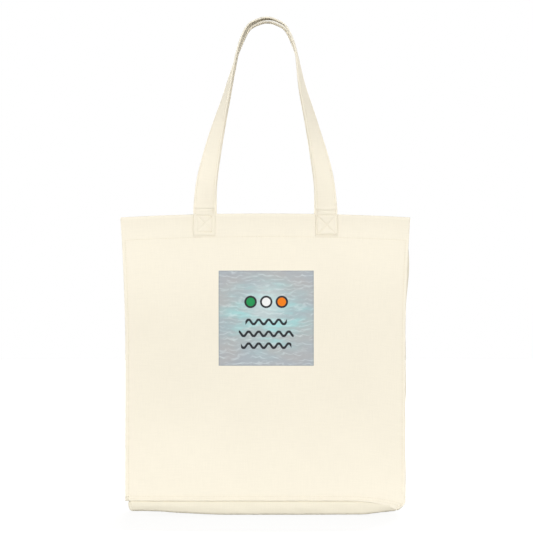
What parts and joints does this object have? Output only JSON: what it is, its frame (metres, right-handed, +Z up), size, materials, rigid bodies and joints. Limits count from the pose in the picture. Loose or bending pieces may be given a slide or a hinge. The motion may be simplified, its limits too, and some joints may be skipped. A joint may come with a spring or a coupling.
{
  "type": "canvas tote bag",
  "caption": "Open-topped gusseted canvas tote bag standing on its base, with shoulder straps that fold down over the front and the back.",
  "frame": {"origin": "under the middle of the base, on the surface the bag stands on", "axes": "+Z up, +X to the bag's right as seen from the front, -Y out of the printed front panel"},
  "size_m": [0.394, 0.116, 0.6759],
  "materials": {
    "canvas": "matte natural cotton canvas, plain weave",
    "gusset_canvas": "matte natural cotton canvas, plain weave",
    "strap_canvas": "matte folded cotton canvas strap",
    "thread": "spun cotton sewing thread",
    "print": "flat screen-printed ink on canvas"
  },
  "bodies": {
    "bag": {"front_panel": "canvas", "back_panel": "canvas", "left_gusset": "gusset_canvas", "right_gusset": "gusset_canvas", "bottom_gusset": "gusset_canvas", "front_hem": "canvas", "back_hem": "canvas", "left_hem": "canvas", "right_hem": "canvas", "front_hem_thread": "thread", "back_hem_thread": "thread", "left_hem_thread": "thread", "right_hem_thread": "thread", "front_base_thread": "thread", "back_base_thread": "thread", "left_base_thread": "thread", "right_base_thread": "thread", "front_left_edge_thread": "thread", "front_right_edge_thread": "thread", "back_left_edge_thread": "thread", "back_right_edge_thread": "thread", "front_handle_left_end": "strap_canvas", "front_handle_right_end": "strap_canvas", "back_handle_left_end": "strap_canvas", "back_handle_right_end": "strap_canvas", "front_handle_left_box_stitch": "thread", "front_handle_right_box_stitch": "thread", "back_handle_left_box_stitch": "thread", "back_handle_right_box_stitch": "thread"},
    "front_strap": {"front_handle": "strap_canvas", "front_handle_inner_thread": "thread", "front_handle_outer_thread": "thread"},
    "back_strap": {"back_handle": "strap_canvas", "back_handle_inner_thread": "thread", "back_handle_outer_thread": "thread"}
  },
  "joints": [
    {"name": "front_handle_fold", "type": "hinge", "parent": "bag", "child": "front_strap", "pos_m": [0, -0.0457, 0.4063], "axis": [1, 0, 0], "range_deg": [0, 168]},
    {"name": "back_handle_fold", "type": "hinge", "parent": "bag", "child": "back_strap", "pos_m": [0, 0.0457, 0.4063], "axis": [-1, 0, 0], "range_deg": [0, 168]}
  ]
}
